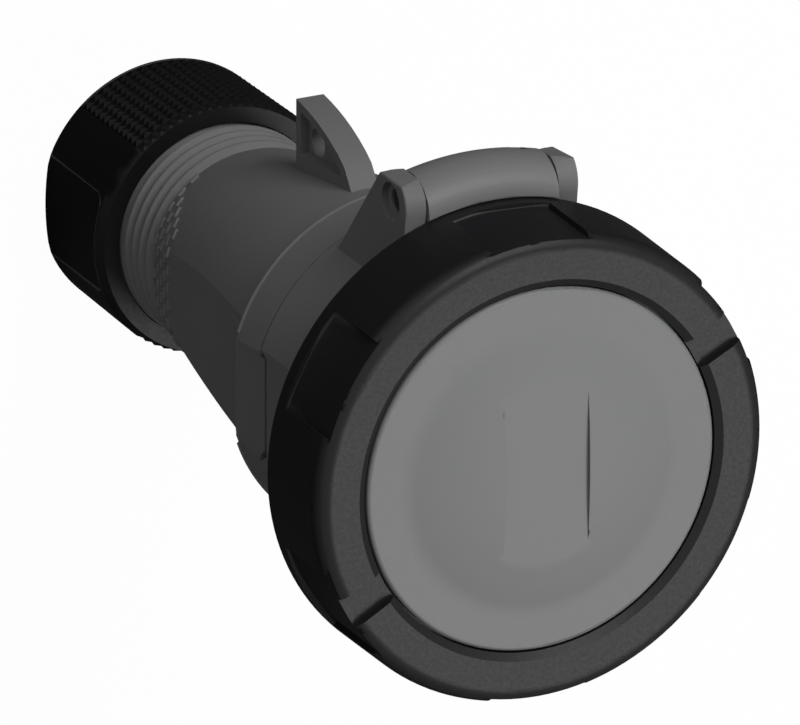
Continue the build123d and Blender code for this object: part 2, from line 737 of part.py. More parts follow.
# Lid: disc, flange, hinge arm and barrel
spring_pocket_radius = pin_radius + spring_pocket_step
spring_length = spring_pitch * spring_turns
spring_pocket_depth = spring_length + 2 * spring_wire
with BuildPart() as lid:
    # barrel, crowned round the coupler's own axis
    with BuildSketch(Plane.XZ):
        with Locations((hinge_crown_radius - barrel_radius, pin_level)):
            Circle(barrel_radius)
    revolve(axis=Axis.Z)
    with BuildSketch(Plane.XY.offset(pin_level)):
        with Locations((0, pin_height)):
            Rectangle(2 * (hinge_lug_inner - slide_gap), 4 * barrel_radius)
    extrude(amount=2 * barrel_radius, both=True, mode=Mode.INTERSECT)
    # arm, inside the ring and out behind its rear edge
    clear_level = ring_rear_level - slide_gap
    with BuildSketch(Plane.YZ):
        with BuildLine():
            Polyline(
                (arm_inner_radius - arm_thickness, flange_rear_level + edge_break),
                (arm_outer_radius, flange_rear_level + edge_break),
                (arm_outer_radius, clear_level),
                (pin_height, clear_level),
                (pin_height, pin_level - arm_rear_drop),
                (pin_height - barrel_radius / 2, pin_level - arm_rear_drop),
                (arm_inner_radius - arm_thickness, pin_level),
                close=True,
            )
        make_face()
    extrude(amount=hinge_lug_inner - arm_side_gap, both=True)
    # room for the ring's turn and for the collar
    with BuildSketch(Plane.XZ):
        band(arm_outer_radius, ring_radius + slide_gap, clear_level, flange_front_level)
        band(0, arm_inner_radius, pin_level - 2 * barrel_radius, flange_front_level)
    revolve(axis=Axis.Z, mode=Mode.SUBTRACT)
    with BuildSketch(Plane.XZ):
        dome_centre = disc_level - sqrt(dome_radius**2 - disc_flat_radius**2)
        dome_angle = degrees(asin(disc_flat_radius / dome_radius))
        under_radius = dome_radius - disc_thickness
        rib_radius = gasket_inner_radius - seat_gap
        under_angle = degrees(asin((rib_radius - lid_rib_thickness) / under_radius))
        with BuildLine():
            dome = CenterArc((0, dome_centre), dome_radius, 90 - dome_angle, dome_angle)
            under = CenterArc((0, dome_centre), under_radius, 90 - under_angle, under_angle)
            Line(dome @ 1, under @ 1)
            Polyline(
                (disc_flat_radius, disc_level),
                (disc_radius - disc_rounding, disc_level),
            )
            RadiusArc(
                (disc_radius - disc_rounding, disc_level),
                (disc_radius, disc_level - disc_rounding),
                disc_rounding,
            )
            Polyline(
                (disc_radius, disc_level - disc_rounding),
                (disc_radius, flange_front_level),
                (lid_flange_radius, flange_front_level),
                (lid_flange_radius, flange_rear_level),
                (channel_radius, flange_rear_level),
                (channel_radius, channel_top_level),
                (rib_radius, channel_top_level),
                (rib_radius, flange_rear_level),
                (rib_radius - lid_rib_thickness, flange_rear_level),
                under @ 0,
            )
        make_face()
    revolve(axis=Axis.Z)
    # flat field sunk in the dome
    with BuildSketch(Plane.XY.offset(disc_level + field_height)):
        Rectangle(2 * field_half_width, 2 * disc_flat_radius)
    extrude(amount=disc_thickness, mode=Mode.SUBTRACT)
    # bore for the pin, pocket for the spring and the slot for its leg
    with BuildSketch(Plane.YZ):
        with Locations(pin_centre):
            Circle(pin_radius + barrel_gap)
    extrude(amount=hinge_lug_outer, both=True, mode=Mode.SUBTRACT)
    with BuildSketch(Plane.YZ.offset(hinge_lug_inner)):
        with Locations(pin_centre):
            Circle(spring_pocket_radius)
    extrude(amount=-spring_pocket_depth - slide_gap, mode=Mode.SUBTRACT)
    with BuildSketch(Plane.XY.offset(pin_level - edge_break)):
        with Locations((hinge_lug_inner - spring_slot_inset, hinge_crown_radius)):
            Rectangle(spring_slot_width, 2 * spring_slot_depth)
    extrude(amount=-spring_slot_length, mode=Mode.SUBTRACT)
finish(lid, "lid")

# Lid gasket, in its channel over the collar's rim
with BuildPart() as lid_gasket:
    with BuildSketch(Plane.XZ):
        band(gasket_inner_radius, channel_radius - seat_gap, gasket_level, gasket_level + gasket_thickness)
        chamfer(vertices().group_by(Axis.Y)[0], edge_break)
    revolve(axis=Axis.Z)
finish(lid_gasket, "lid_gasket")

# Spring in the barrel that closes the lid, its leg in the barrel's slot
spring_radius = (pin_radius + spring_pocket_radius) / 2
spring_start = hinge_lug_inner - spring_pocket_depth + spring_wire
with BuildPart() as lid_spring:
    with BuildLine() as spring_path:
        Helix(
            pitch=spring_pitch,
            height=spring_length,
            radius=spring_radius,
            center=(spring_start, pin_height, pin_level),
            direction=(1, 0, 0),
        )
    with BuildSketch(Plane(origin=spring_path.line @ 0, z_dir=spring_path.line % 0)):
        Circle(spring_wire / 2)
    sweep(path=spring_path.line, is_frenet=True)
finish(lid_spring, "lid_spring")

# Bayonet ring
ring_pocket = sector(ring_radius - pocket_depth, ring_radius + pocket_depth, pocket_half_angle)
ring_lug = sector(ring_lug_inner_radius, ring_bore_radius + pocket_depth, ring_lug_half_angle)
with BuildPart() as bayonet_ring:
    with BuildSketch(Plane.XZ):
        rounding_level = ring_front_level - ring_rounding
        with BuildLine():
            RadiusArc(
                (ring_face_radius, ring_front_level),
                (ring_front_radius, rounding_level),
                ring_rounding,
            )
            Polyline(
                (ring_front_radius, rounding_level),
                (ring_radius, ring_rear_level + edge_break),
                (ring_radius - edge_break, ring_rear_level),
                (ring_bore_radius, ring_rear_level),
                (ring_bore_radius, ring_wall_level),
                (ring_lip_radius, ring_wall_level),
                (ring_lip_radius, ring_front_level - ring_lip_chamfer),
                (ring_lip_radius + ring_lip_chamfer, ring_front_level),
                (ring_face_radius, ring_front_level),
            )
        make_face()
        seat_radius = ring_bore_radius + retainer_seat_depth
        seat_low = retainer_level - seat_gap / 2
        seat_high = retainer_level + retainer_thickness + seat_gap / 2
        band(retainer_inner_radius, seat_radius, seat_low, seat_high, Mode.SUBTRACT)
    revolve(axis=Axis.Z)
    with BuildSketch(Plane.XY.offset(ring_rear_level + pocket_rear_margin)):
        with PolarLocations(0, pocket_count, start_angle=ring_groove_angle):
            add(ring_pocket)
    extrude(amount=ring_length, mode=Mode.SUBTRACT)
    with BuildSketch(Plane.XY.offset(ring_rear_level + ring_lug_rear_margin)):
        with PolarLocations(0, lug_count, start_angle=ring_lug_angle):
            add(ring_lug)
    extrude(amount=ring_lug_length)
    with BuildSketch(Plane.XY.offset(ring_front_level)):
        with PolarLocations(ring_radius, 2, start_angle=ring_groove_angle):
            Rectangle(2 * ring_radius - 2 * disc_radius, ring_groove_width)
    extrude(amount=-ring_groove_depth, mode=Mode.SUBTRACT)
finish(bayonet_ring, "bayonet_ring")

# Split ring that keeps the lid's flange in the bayonet ring
with BuildPart() as ring_retainer:
    with BuildSketch(Plane.XY.offset(retainer_level)):
        Circle(ring_bore_radius + retainer_seat_depth - seat_gap / 2)
        Circle(retainer_inner_radius, mode=Mode.SUBTRACT)
        with Locations((0, -ring_radius)):
            Rectangle(retainer_split, ring_radius, mode=Mode.SUBTRACT)
    extrude(amount=retainer_thickness)
finish(ring_retainer, "ring_retainer")
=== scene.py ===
import bmesh
import bpy
import json
from math import asin, atan2, cos, degrees, pi, radians, sin
from mathutils import Matrix, Vector


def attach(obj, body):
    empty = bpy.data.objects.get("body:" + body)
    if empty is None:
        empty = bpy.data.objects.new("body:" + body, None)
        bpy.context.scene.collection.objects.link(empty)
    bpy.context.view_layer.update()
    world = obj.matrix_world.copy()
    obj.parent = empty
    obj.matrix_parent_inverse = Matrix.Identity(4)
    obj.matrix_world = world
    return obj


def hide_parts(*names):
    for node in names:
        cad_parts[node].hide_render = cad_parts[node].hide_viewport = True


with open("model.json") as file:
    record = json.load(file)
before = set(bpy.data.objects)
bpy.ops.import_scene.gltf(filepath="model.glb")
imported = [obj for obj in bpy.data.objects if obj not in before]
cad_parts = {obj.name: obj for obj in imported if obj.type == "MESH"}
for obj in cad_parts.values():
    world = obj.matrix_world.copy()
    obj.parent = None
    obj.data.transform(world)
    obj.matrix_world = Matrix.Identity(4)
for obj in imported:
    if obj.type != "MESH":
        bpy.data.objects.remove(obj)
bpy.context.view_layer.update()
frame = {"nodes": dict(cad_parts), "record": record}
mm = 0.001  # the frame is in metres
scene = bpy.context.scene
print("frame loaded:", len(frame["nodes"]), "nodes")


# Materials: moulded plastics, rubber, brass and steel, all on Object coordinates

def newMaterial(name):
    material = bpy.data.materials.new(name)
    material.use_nodes = True
    tree = material.node_tree
    return material, tree, tree.nodes["Principled BSDF"]


def addNode(tree, kind, **values):
    node = tree.nodes.new(kind)
    for key, value in values.items():
        if key in node.inputs:
            node.inputs[key].default_value = value
        else:
            setattr(node, key, value)
    return node


def noiseOn(tree, scale, detail=3.0, roughness=0.55):
    coords = addNode(tree, "ShaderNodeTexCoord")
    noise = addNode(tree, "ShaderNodeTexNoise", Scale=scale, Detail=detail, Roughness=roughness)
    tree.links.new(coords.outputs["Object"], noise.inputs["Vector"])
    return noise


def mixColours(tree, factor, dark, light):
    mix = addNode(tree, "ShaderNodeMix", data_type="RGBA")
    mix.inputs["A"].default_value = (*dark, 1)
    mix.inputs["B"].default_value = (*light, 1)
    tree.links.new(factor, mix.inputs["Factor"])
    return mix.outputs["Result"]


def remap(tree, value, low, high, toLow, toHigh):
    ramp = addNode(tree, "ShaderNodeMapRange")
    for key, number in (("From Min", low), ("From Max", high), ("To Min", toLow), ("To Max", toHigh)):
        ramp.inputs[key].default_value = number
    tree.links.new(value, ramp.inputs["Value"])
    return ramp.outputs["Result"]


noiseRange = (0.3, 0.7)  # where most of a noise's values lie


def mouldedPlastic(name, values):
    material, tree, shader = newMaterial(name)
    shader.inputs["Specular IOR Level"].default_value = values["gloss"]
    clouds = noiseOn(tree, values["cloudScale"], 2.0)
    colour = mixColours(tree, clouds.outputs["Fac"], values["dark"], values["light"])
    tree.links.new(colour, shader.inputs["Base Color"])
    grain = noiseOn(tree, values["grainScale"], 4.0, 0.6)
    rough = remap(tree, grain.outputs["Fac"], *noiseRange, values["roughLow"], values["roughHigh"])
    tree.links.new(rough, shader.inputs["Roughness"])
    bump = addNode(tree, "ShaderNodeBump", Strength=values["bump"], Distance=values["depth"] * mm)
    tree.links.new(grain.outputs["Fac"], bump.inputs["Height"])
    tree.links.new(bump.outputs["Normal"], shader.inputs["Normal"])
    return material


plasticLooks = {
    "housing_plastic": dict(
        dark=(0.148, 0.150, 0.150), light=(0.168, 0.170, 0.169), gloss=0.22, cloudScale=28,
        grainScale=1500, roughLow=0.55, roughHigh=0.67, bump=0.25, depth=0.03),
    "lid_plastic": dict(
        dark=(0.166, 0.171, 0.167), light=(0.176, 0.181, 0.177), gloss=0.30, cloudScale=22,
        grainScale=1700, roughLow=0.46, roughHigh=0.56, bump=0.15, depth=0.02),
    "ring_plastic": dict(
        dark=(0.0088, 0.0088, 0.0098), light=(0.0118, 0.0118, 0.0132), gloss=0.165, cloudScale=34,
        grainScale=1300, roughLow=0.36, roughHigh=0.44, bump=0.25, depth=0.03),
    "black_plastic": dict(
        dark=(0.0035, 0.0035, 0.0038), light=(0.0052, 0.0052, 0.0056), gloss=0.20, cloudScale=40,
        grainScale=1300, roughLow=0.38, roughHigh=0.48, bump=0.25, depth=0.03),
    "carrier_plastic": dict(
        dark=(0.018, 0.018, 0.020), light=(0.024, 0.024, 0.027), gloss=0.35, cloudScale=45,
        grainScale=1800, roughLow=0.40, roughHigh=0.50, bump=0.15, depth=0.02),
    "seal_rubber": dict(
        dark=(0.012, 0.012, 0.012), light=(0.018, 0.018, 0.018), gloss=0.15, cloudScale=60,
        grainScale=2200, roughLow=0.75, roughHigh=0.9, bump=0.3, depth=0.03),
}


def turnedMetal(name, values):
    material, tree, shader = newMaterial(name)
    shader.inputs["Metallic"].default_value = 1.0
    clouds = noiseOn(tree, values["cloudScale"], 3.0)
    colour = mixColours(tree, clouds.outputs["Fac"], values["dark"], values["light"])
    tree.links.new(colour, shader.inputs["Base Color"])
    marks = noiseOn(tree, values["markScale"], 5.0, 0.7)
    rough = remap(tree, marks.outputs["Fac"], *noiseRange, values["roughLow"], values["roughHigh"])
    tree.links.new(rough, shader.inputs["Roughness"])
    return material


metalLooks = {
    "contact_brass": dict(
        dark=(0.62, 0.44, 0.20), light=(0.74, 0.56, 0.29), cloudScale=90,
        markScale=1600, roughLow=0.24, roughHigh=0.38),
    "screw_steel": dict(
        dark=(0.48, 0.49, 0.50), light=(0.60, 0.61, 0.62), cloudScale=110,
        markScale=1900, roughLow=0.26, roughHigh=0.42),
}

materials = {name: mouldedPlastic(name, values) for name, values in plasticLooks.items()}
materials.update({name: turnedMetal(name, values) for name, values in metalLooks.items()})
print("materials:", len(materials))


# Every CAD node gets its slot's material

slotOf = {row["node"]: row["material_slot"] for row in frame["record"]["subparts"]}
bodyOf = {}
for bodyName, names in frame["record"]["behaviour"]["bodies"].items():
    for nodeName in names:
        bodyOf[nodeName] = bodyName
for nodeName, node in frame["nodes"].items():
    node.data.materials.clear()
    node.data.materials.append(materials[slotOf[nodeName]])


# Shared tools for the new pieces

mergeValues = dict(piece=0.0005, node=0.0001)  # points closer than this become one


def addPiece(name, bm, like, replaced=(), sharp=14, finish=None):
    bmesh.ops.remove_doubles(bm, verts=bm.verts, dist=mergeValues["piece"] * mm)
    for face in bm.faces:
        face.smooth = True
    mesh = bpy.data.meshes.new(name)
    bm.to_mesh(mesh)
    bm.free()
    mesh.set_sharp_from_angle(angle=radians(sharp))
    mesh.materials.append(finish or materials[slotOf[like]])
    piece = bpy.data.objects.new(name, mesh)
    scene.collection.objects.link(piece)
    shading = piece.modifiers.new("shading", "WEIGHTED_NORMAL")
    shading.keep_sharp = True
    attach(piece, bodyOf[like])
    if replaced:
        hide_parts(*replaced)
    return piece


def nodeCopy(nodeName, flat=0.4):
    bm = bmesh.new()
    bm.from_mesh(frame["nodes"][nodeName].data)
    layer = bm.loops.layers.float_vector.get("custom_normal")
    if layer:
        bm.loops.layers.float_vector.remove(layer)
    bmesh.ops.remove_doubles(bm, verts=bm.verts, dist=mergeValues["node"] * mm)
    bmesh.ops.dissolve_limit(bm, angle_limit=radians(flat), verts=bm.verts, edges=bm.edges)
    for face in bm.faces:
        face.material_index = 0
    return bm


def spunTwice(bm):
    # the same again on the other side of the coupler
    geometry = bm.verts[:] + bm.edges[:] + bm.faces[:]
    bmesh.ops.spin(bm, geom=geometry, axis=(0, 0, 1), angle=pi, steps=1, use_duplicate=True)


def middleOf(edge):
    return (edge.verts[0].co + edge.verts[1].co) / (2 * mm)


# The parting line: the edge of each housing moves in and back, so that a slot stays open

partingValues = dict(level=117.6, tolerance=0.05, outside=33.5, deeper=1.1, half=0.45)


def squareParting(bm, values, side):
    for vert in bm.verts:
        radius = vert.co.xy.length / mm
        offset = vert.co.z / mm - values["level"]
        if radius > values["outside"] and abs(offset) < values["tolerance"]:
            vert.co.xy *= (radius - values["deeper"]) / radius
            vert.co.z += values["half"] * side * mm


# The rear housing, with a fuller fin

finValues = dict(
    rear=68.5, length=25.4, lastShare=1.001, half=3.1, stretch=2.7, bulge=1.35, phase=0.9, fade=4.0,
    surface=27.6, slope=0.14, foot=0.4, noseFrom=93.2, noseTo=93.65, noseHeight=31.0,
    eyeHeight=34.7, eyeLevel=74.4, eyeKept=3.4,
)


def fullerFin(values):
    bm = nodeCopy("rear_housing")
    squareParting(bm, partingValues, -1)
    for vert in bm.verts:
        x, y, z = vert.co / mm
        along = (z - values["rear"]) / values["length"]
        height = y - values["surface"] - values["slope"] * (z - values["rear"])
        height -= values["foot"]  # the fin's foot stays on the housing
        eye = Vector((y - values["eyeHeight"], z - values["eyeLevel"])).length
        onFin = abs(x) < values["half"] and 0 < along < values["lastShare"] and height > 0
        if onFin and eye > values["eyeKept"]:
            weight = min(height / values["fade"], 1)
            vert.co.z += values["stretch"] * along * weight * mm
            vert.co.y += values["bulge"] * sin(pi * along * values["phase"]) * weight * mm
    return bm


def creaseNose(piece, values):
    # the fin's nose meets the housing in a crease, so the two aren't shaded as one
    points = piece.data.vertices
    for edge in piece.data.edges:
        x, y, z = (points[edge.vertices[0]].co + points[edge.vertices[1]].co) / (2 * mm)
        atNose = values["noseFrom"] < z < values["noseTo"] and y > values["noseHeight"]
        if atNose and abs(x) < values["half"]:
            edge.use_edge_sharp = True


rearShell = addPiece("rearShell", fullerFin(finValues), "rear_housing", ["rear_housing"])
creaseNose(rearShell, finValues)


# The front housing: its lugs are lowered to the barrel and rounded at their outer edges

lugValues = dict(
    pinHeight=49.3, pinLevel=143.3, holeKept=4.3, inner=14.4, thickness=4.4, edgesFrom=42,
    dropFrom=51.0, dropTo=55.5, dropInner=1.0, dropOuter=0.25, backDrop=1.5, backReach=5.0,
    rounding=0.9, roundSteps=3, edgeAngle=25,
)


def fromPin(values, y, z):
    return Vector((y - values["pinHeight"], z - values["pinLevel"])).length


def roundLugs(values):
    bm = nodeCopy("front_housing")
    squareParting(bm, partingValues, 1)
    for vert in bm.verts:
        x, y, z = vert.co / mm
        if y > values["dropFrom"] and fromPin(values, y, z) > values["holeKept"]:
            across = (abs(x) - values["inner"]) / values["thickness"]
            drop = values["dropInner"] + (values["dropOuter"] - values["dropInner"]) * across
            if x > 0:  # the back of the right lug is lower
                behind = (values["pinLevel"] - z) / values["backReach"]
                drop += values["backDrop"] * min(max(behind, 0), 1)
            share = (y - values["dropFrom"]) / (values["dropTo"] - values["dropFrom"])
            vert.co.y -= drop * min(share, 1) * mm
    bm.normal_update()
    edges = []
    for edge in bm.edges:
        x, y, z = middleOf(edge)
        outer = abs(x) > values["inner"] + values["thickness"] / 2
        onLug = y > values["edgesFrom"] and outer and fromPin(values, y, z) > values["holeKept"]
        if onLug and edge.calc_face_angle(0) > radians(values["edgeAngle"]):
            edges.append(edge)
    bmesh.ops.bevel(bm, geom=edges, offset=values["rounding"] * mm, segments=values["roundSteps"],
                    affect="EDGES", profile=0.5, material=-1, clamp_overlap=True)
    return bm


frontShell = addPiece("frontShell", roundLugs(lugValues), "front_housing", ["front_housing"])


# The grip ring: a lower lip, and wider grooves in its face

ringValues = dict(
    lipRadius=38.7, lipTolerance=0.12, lipMoved=38.1, grooveAngle=30, grooveHalf=2.5,
    grooveFloor=170.6, inside=37.9, widened=2.4, spread=7.0, wallMargin=0.05,
)


def dressedRing(values):
    bm = nodeCopy("bayonet_ring")
    for vert in bm.verts:
        radius = vert.co.xy.length / mm
        if vert.co.z / mm > values["grooveFloor"] and radius > values["inside"]:
            # the wall that runs clockwise of each groove moves on, and what lies behind it closes up
            angle = (degrees(atan2(vert.co.y, vert.co.x)) - values["grooveAngle"] + 90) % 180 - 90
            wall = -degrees(asin(values["grooveHalf"] / radius))
            behind = (wall + values["wallMargin"] - angle) / values["spread"]
            if 0 <= behind < 1:
                turn = -values["widened"] * (1 - behind)
                vert.co = Matrix.Rotation(radians(turn), 3, "Z") @ vert.co
        if abs(radius - values["lipRadius"]) < values["lipTolerance"]:
            vert.co.xy *= values["lipMoved"] / radius
    return bm


gripRing = addPiece("gripRing", dressedRing(ringValues), "bayonet_ring", ["bayonet_ring"])


# The lid: the crown of its barrel is lowered

barrelValues = dict(hingeSide=40, low=52.0, crown=57.3, drop=1.0)


def loweredBarrel(values):
    bm = nodeCopy("lid")
    for vert in bm.verts:
        x, y, z = vert.co / mm
        radius = Vector((x, y)).length
        if y > values["hingeSide"] and radius > values["low"]:
            share = (radius - values["low"]) / (values["crown"] - values["low"])
            lowered = radius - values["drop"] * share
            vert.co.y = (lowered ** 2 - x ** 2) ** 0.5 * mm
    return bm


lidShell = addPiece("lidShell", loweredBarrel(barrelValues), "lid", ["lid"])


# The hinge pin, in darker steel than the screws

pinLook = dict(
    dark=(0.06, 0.06, 0.06), light=(0.10, 0.10, 0.10), cloudScale=110, markScale=1900,
    roughLow=0.40, roughHigh=0.55,
)
pinShell = addPiece("pinShell", nodeCopy("hinge_pin"), "hinge_pin", ["hinge_pin"],
                    finish=turnedMetal("darkSteel", pinLook))
print("pieces from the frame: 5")


# The thread's coil: a screw spin of its profile on the housing's plain core

threadValues = dict(
    pitch=3.1, first=10.6, last=41.6, steps=60, crest=22.66, root=21.35, buried=20.9,
    crestHalf=0.12, shoulder=22.45, shoulderHalf=0.42, rootHalf=1.3, rootFlare=0.05, runout=0.15,
)


def threadCoil(values):
    upper = [
        (values["crest"], values["crestHalf"]),
        (values["shoulder"], values["shoulderHalf"]),
        (values["root"], values["rootHalf"]),
        (values["buried"], values["rootHalf"] + values["rootFlare"]),
    ]
    outline = [(radius, -level) for radius, level in reversed(upper)] + upper
    bm = bmesh.new()
    for radius, level in outline:
        bm.verts.new((radius * mm, 0, (values["first"] + level) * mm))
    bm.faces.new(bm.verts)
    turns = (values["last"] - values["first"]) / values["pitch"]
    steps = round(turns * values["steps"])
    bmesh.ops.spin(bm, geom=bm.faces[:] + bm.edges[:] + bm.verts[:], axis=(0, 0, 1),
                   angle=turns * 2 * pi, steps=steps, dvec=(0, 0, values["pitch"] / values["steps"] * mm))
    # the crest sinks into the core at both ends
    bm.verts.ensure_lookup_table()
    for index, vert in enumerate(bm.verts):
        step = index // len(outline)
        ends = min(step, steps - step) / (values["steps"] * values["runout"])
        radius = vert.co.xy.length / mm
        if ends < 1 and radius > values["buried"]:
            sunk = values["buried"] + (radius - values["buried"]) * ends
            vert.co.xy *= sunk / radius
    bmesh.ops.recalc_face_normals(bm, faces=bm.faces)
    return bm


housingThread = addPiece("housingThread", threadCoil(threadValues), "rear_housing", sharp=40)
print("thread:", len(housingThread.data.polygons), "faces")


# The bead round the shoulder, between the side flats

beadValues = dict(radius=36.0, level=106.75, thickness=0.48, sides=8, first=19, last=161, steps=72)


def shoulderBead(values):
    bm = bmesh.new()
    ring = bmesh.ops.create_circle(bm, cap_ends=True, segments=values["sides"],
                                   radius=values["thickness"] * mm)["verts"]
    bmesh.ops.rotate(bm, verts=ring, matrix=Matrix.Rotation(pi / 2, 3, "X"))
    bmesh.ops.translate(bm, verts=ring, vec=(values["radius"] * mm, 0, values["level"] * mm))
    bmesh.ops.rotate(bm, verts=ring, matrix=Matrix.Rotation(radians(values["first"]), 3, "Z"))
    bmesh.ops.spin(bm, geom=bm.faces[:] + bm.edges[:] + bm.verts[:], axis=(0, 0, 1),
                   angle=radians(values["last"] - values["first"]), steps=values["steps"])
    spunTwice(bm)
    bmesh.ops.recalc_face_normals(bm, faces=bm.faces)
    return bm


housingBead = addPiece("housingBead", shoulderBead(beadValues), "rear_housing", sharp=60)
print("bead:", len(housingBead.data.polygons), "faces")


# The ratchet ribs behind the thread: short raised dashes in staggered rows on both sides

ribValues = dict(
    firstRow=43.7, rows=5, rowPitch=2.15, pitch=9.0, columns=8, stagger=0.5,
    length=2.3, width=0.8, height=0.55, buried=0.6, rounding=0.22,
    neckRadius=22.7, neckLevel=43.9, neckSlope=0.2, panelLevel=43.0, panelOffset=21.9, panelSlope=0.143,
    reach=((22, 54.0), (30, 52.6), (37, 49.3), (44, 46.8), (62, 43.0)),  # angle, highest level of a rib
)


def ribReach(values, angle):
    reach = values["reach"]
    if angle <= reach[0][0]:
        return reach[0][1]
    for (angle0, level0), (angle1, level1) in zip(reach, reach[1:]):
        if angle <= angle1:
            return level0 + (level1 - level0) * (angle - angle0) / (angle1 - angle0)
    return 0


def ratchetRibs(values):
    bm = bmesh.new()
    for row in range(values["rows"]):
        level = values["firstRow"] + row * values["rowPitch"]
        for column in range(-values["columns"], values["columns"] + 1):
            turn = (column + values["stagger"] * (row % 2)) * values["pitch"]
            if level > ribReach(values, abs(turn)):
                continue
            # a rib lies on the round neck, or on the side panel where that is nearer the axis
            cone = values["neckRadius"] + values["neckSlope"] * max(level - values["neckLevel"], 0)
            panel = values["panelOffset"] + values["panelSlope"] * (level - values["panelLevel"])
            panel /= cos(radians(turn))
            onPanel = panel < cone
            slope = values["panelSlope"] if onPanel else values["neckSlope"]
            block = bmesh.ops.create_cube(bm, size=1)["verts"]
            size = (values["height"] + values["buried"], values["length"], values["width"])
            raised = (values["height"] - values["buried"]) / 2
            bmesh.ops.scale(bm, vec=[side * mm for side in size], verts=block)
            bmesh.ops.translate(bm, vec=(raised * mm, 0, 0), verts=block)
            bmesh.ops.rotate(bm, matrix=Matrix.Rotation(atan2(slope, 1), 3, "Y"), verts=block)
            if not onPanel:
                bmesh.ops.rotate(bm, matrix=Matrix.Rotation(radians(turn), 3, "Z"), verts=block)
            radius = min(panel, cone)
            place = (radius * cos(radians(turn)) * mm, radius * sin(radians(turn)) * mm, level * mm)
            bmesh.ops.translate(bm, vec=place, verts=block)
    bmesh.ops.bevel(bm, geom=bm.edges[:], offset=values["rounding"] * mm, segments=1,
                    affect="EDGES", profile=0.5, material=-1)
    spunTwice(bm)
    return bm


gripRibs = addPiece("gripRibs", ratchetRibs(ribValues), "rear_housing", sharp=50)
print("ratchet ribs:", len(gripRibs.data.polygons), "faces")


# The gland nut: fuller than the frame's, with bevelled flats and a slope to its front face

nutValues = dict(
    grown=0.75, grownFrom=23.4, grownTo=28.4, slopeFrom=26.4, faceFrom=25.0, faceEdge=28.4,
    flatReach=12, flatShort=0.5, flatEdge=0.22, flatSteps=2, flatAngle=9, rimProud=0.03, rimThickness=0.15,
)


def grownNut(values):
    bm = nodeCopy("gland_nut")
    for vert in bm.verts:
        radius = vert.co.xy.length / mm
        if radius > values["grownFrom"] and vert.co.z / mm < values["grownTo"]:
            vert.co.xy *= (radius + values["grown"]) / radius
            vert.co.z = min(vert.co.z, values["slopeFrom"] * mm)
        elif radius > values["faceFrom"]:
            vert.co.z = values["faceEdge"] * mm
    bm.normal_update()
    edges = []
    for edge in bm.edges:
        x, y, z = middleOf(edge)
        onFlat = abs(x) > values["grownFrom"] and abs(y) < values["flatReach"]
        onFlat = onFlat and 0 < z < values["slopeFrom"] - values["flatShort"]
        if onFlat and edge.calc_face_angle(0) > radians(values["flatAngle"]):
            edges.append(edge)
    rims = bmesh.ops.bevel(bm, geom=edges, offset=values["flatEdge"] * mm, segments=values["flatSteps"],
                           affect="EDGES", profile=0.5, material=-1)["faces"]
    return bm, rims


# The nut's two knurled sectors are sunk, and filled with pyramids

knurlValues = dict(
    first=48, last=132, low=0.4, high=28.2, rear=26.75, front=27.15, length=28.6, sunk=0.6,
    valley=0.5, peak=0.62, across=17, along=13, thickness=0.3, flat=26.1, outward=0.6,
    slope=0.58, frontRowLower=0.35, cutTolerance=0.001,
)


def onOuterFace(face, values):
    centre = face.calc_center_median()
    angle = degrees(atan2(centre.y, centre.x)) % 180
    level = centre.z / mm
    outward = face.normal.xy.dot(centre.xy.normalized())
    return (values["first"] < angle < values["last"] and values["low"] < level < values["high"]
            and centre.xy.length / mm > values["flat"] and outward > values["outward"])


def sunkNut(values):
    bm = grownNut(nutValues)[0]
    cuts = [((0, 0, 0), (-sin(radians(values[side])), cos(radians(values[side])), 0))
            for side in ("first", "last")]
    cuts += [((0, 0, values[end] * mm), (0, 0, 1)) for end in ("low", "high")]
    for place, normal in cuts:
        bmesh.ops.bisect_plane(bm, geom=bm.verts[:] + bm.edges[:] + bm.faces[:], plane_co=place,
                               plane_no=normal, dist=values["cutTolerance"] * mm)
    bm.normal_update()
    outer = [face for face in bm.faces if onOuterFace(face, values)]
    edges = {edge for face in outer for edge in face.edges}
    points = {point for face in outer for point in face.verts}
    moved = bmesh.ops.extrude_face_region(bm, geom=[*outer, *edges, *points])["geom"]
    for vert in moved:
        if isinstance(vert, bmesh.types.BMVert):
            radius = vert.co.xy.length / mm
            vert.co.xy *= (radius - values["sunk"]) / radius
    return bm


def flatEdgeHighlights(values):
    # thin lines on the bevels of the flats, in a lighter plastic: a painted highlight along the edges
    bm, rims = grownNut(values)
    kept = set(rims)
    bmesh.ops.delete(bm, geom=[face for face in bm.faces if face not in kept], context="FACES")
    bm.normal_update()
    for vert in bm.verts:
        vert.co += vert.normal * values["rimProud"] * mm
    bmesh.ops.solidify(bm, geom=bm.faces[:], thickness=values["rimThickness"] * mm)
    for vert in bm.verts:
        vert.co.z = max(vert.co.z, 0)  # no lower than the nut's rear face
    bmesh.ops.recalc_face_normals(bm, faces=bm.faces)
    return bm


